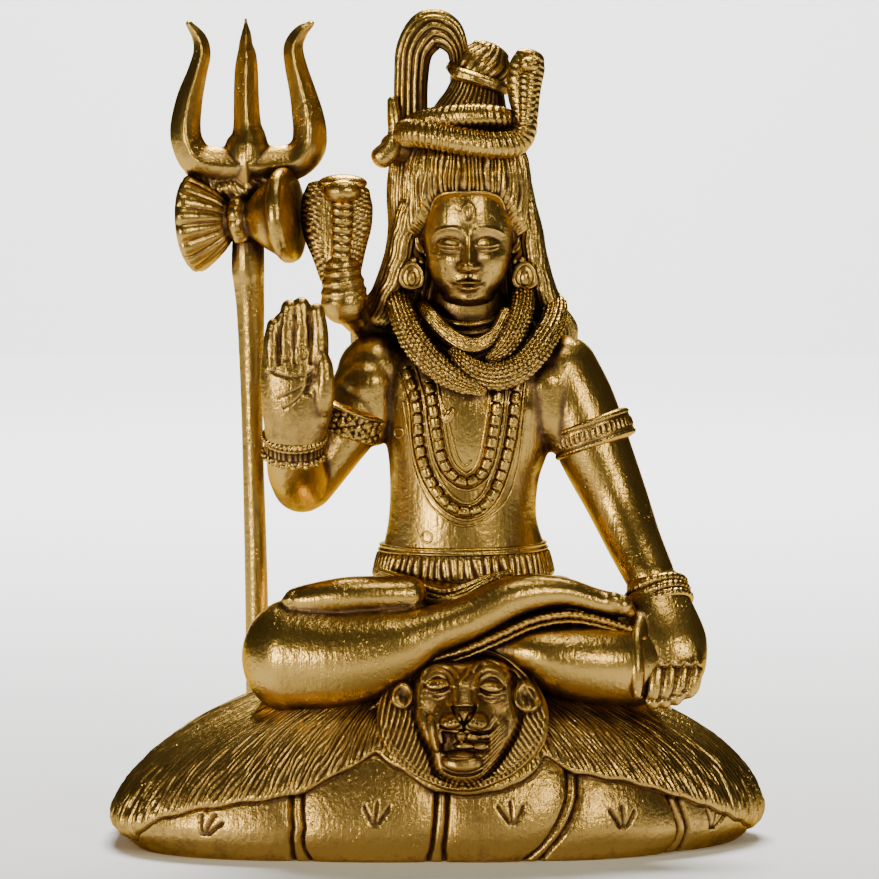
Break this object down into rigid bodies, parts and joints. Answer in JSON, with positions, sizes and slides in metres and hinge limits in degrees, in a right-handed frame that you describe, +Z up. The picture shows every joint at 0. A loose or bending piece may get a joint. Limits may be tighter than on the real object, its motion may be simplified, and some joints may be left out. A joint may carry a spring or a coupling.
{
  "type": "shiva figure",
  "caption": "Small cast brass figure of the deity seated in lotus on a lion skin over a rock mound, with raised hand, trident with drum, snakes and bead garlands.",
  "frame": {"origin": "middle of the box round the figure, on the flat underside of the mound", "axes": "+Z up, the figure faces -Y, and the trident is on the -X side"},
  "size_m": [0.1558, 0.091, 0.1997],
  "materials": {
    "brass": "cast yellow brass, polished on the raised forms, with dark brown patina in the recesses"
  },
  "bodies": {
    "root": {"shiva_figure": "brass"}
  },
  "joints": []
}
